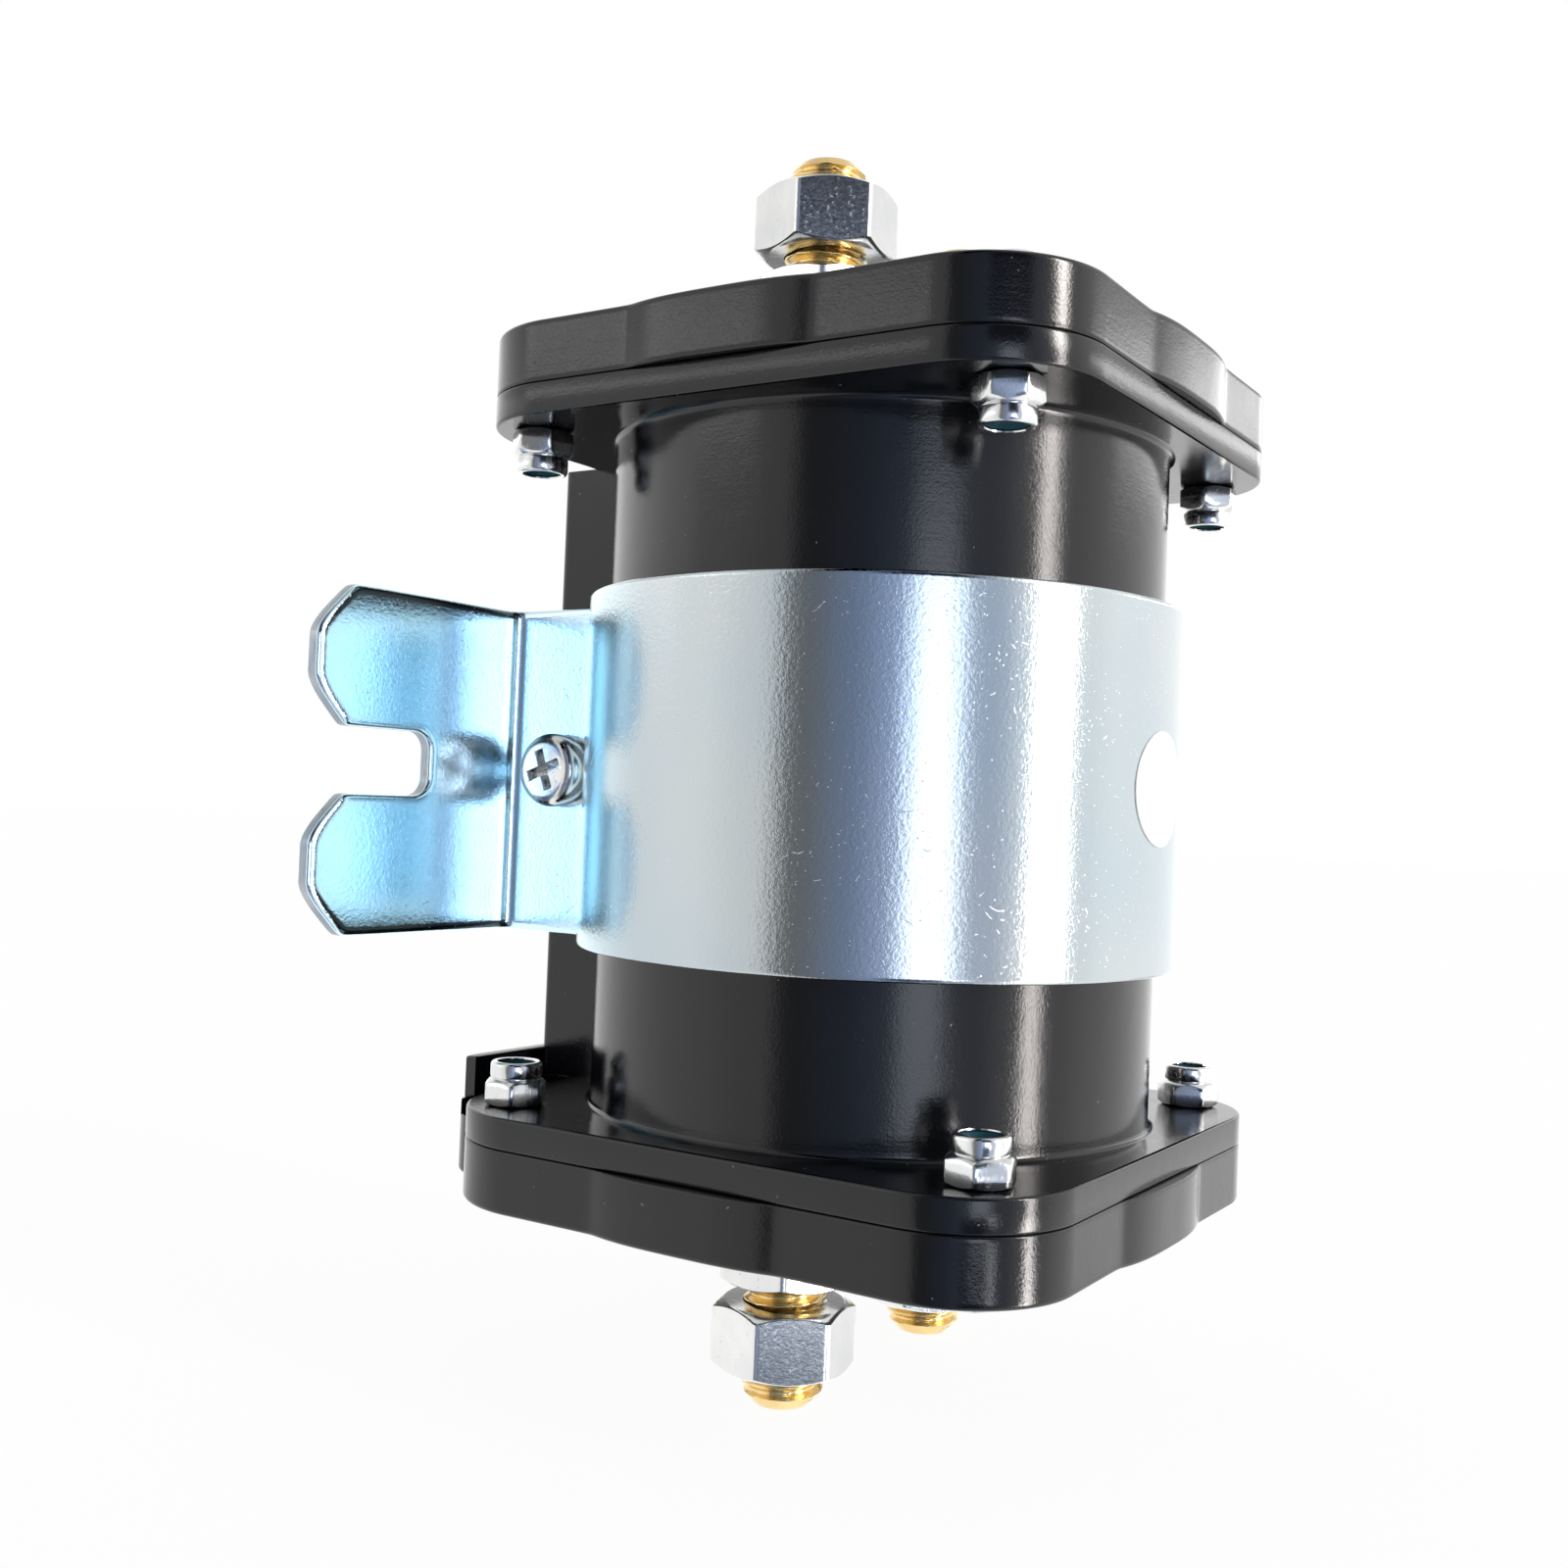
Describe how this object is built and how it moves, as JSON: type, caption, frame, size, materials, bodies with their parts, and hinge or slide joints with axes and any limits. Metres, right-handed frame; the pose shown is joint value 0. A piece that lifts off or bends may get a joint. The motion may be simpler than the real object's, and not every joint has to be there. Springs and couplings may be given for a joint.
{
  "type": "power solenoid",
  "caption": "Strap-mounted power solenoid: round moulded barrel between square covers, contact studs at each end, a zinc strap bracket with slotted ears, and a sprung contact plunger inside.",
  "frame": {"origin": "middle of the mounting plane, on the backs of the two ears", "axes": "+Z along the barrel towards the upper cover, +Y out of the ears' backs into the panel, +X to the right seen from the front"},
  "size_m": [0.0786, 0.074, 0.1171],
  "materials": {
    "housing_plastic": "glossy moulded black",
    "cover_plastic": "glossy moulded black",
    "zinc_plate": "bright zinc plate with a blue tint",
    "zinc_fastener": "bright zinc plate",
    "stud_brass": "plain turned brass",
    "nylon": "dark teal",
    "label_film": "white film",
    "magnet_iron": "plain steel",
    "copper": "copper",
    "bobbin_plastic": "moulded",
    "barrier_board": "pressed board",
    "spring_steel": "plain wire",
    "lead_sleeve": "sleeved wire"
  },
  "bodies": {
    "housing": {"housing": "housing_plastic", "top_cover": "cover_plastic", "bottom_cover": "cover_plastic", "top_cover_screws": "zinc_fastener", "bottom_cover_screws": "zinc_fastener", "top_lock_nuts": "zinc_fastener", "bottom_lock_nuts": "zinc_fastener", "top_nylon_rings": "nylon", "bottom_nylon_rings": "nylon", "top_left_contact_stud": "stud_brass", "top_right_contact_stud": "stud_brass", "bottom_left_contact_stud": "stud_brass", "bottom_right_contact_stud": "stud_brass", "top_stud_washers": "zinc_fastener", "bottom_stud_washers": "zinc_fastener", "top_jam_nuts": "zinc_fastener", "bottom_jam_nuts": "zinc_fastener", "top_terminal_nuts": "zinc_fastener", "bottom_terminal_nuts": "zinc_fastener", "coil_terminals": "stud_brass", "coil_terminal_nuts": "zinc_fastener", "coil_leads": "lead_sleeve", "yoke_shell": "magnet_iron", "fixed_core": "magnet_iron", "lower_pole_plate": "magnet_iron", "upper_barrier": "barrier_board", "lower_barrier": "barrier_board", "bobbin": "bobbin_plastic", "winding": "copper", "return_spring": "spring_steel", "mounting_bracket": "zinc_plate", "clamp_screw": "zinc_fastener", "clamp_nut": "zinc_fastener", "front_label": "label_film"},
    "armature": {"plunger": "magnet_iron", "plunger_shaft": "spring_steel", "shaft_spacer": "bobbin_plastic", "upper_bridge_bush": "bobbin_plastic", "lower_bridge_bush": "bobbin_plastic", "upper_contact_bridge": "copper", "lower_contact_bridge": "copper", "upper_bridge_washer": "barrier_board", "lower_bridge_washer": "barrier_board", "upper_shaft_clip": "spring_steel", "lower_shaft_clip": "spring_steel"}
  },
  "joints": [
    {"name": "plunger_slide", "type": "slide", "parent": "housing", "child": "armature", "axis": [0, 0, 1], "range_m": [0, 0.0024], "stiffness_N_per_m": 1500, "springref_m": -0.004, "deforming": ["return_spring"]}
  ]
}
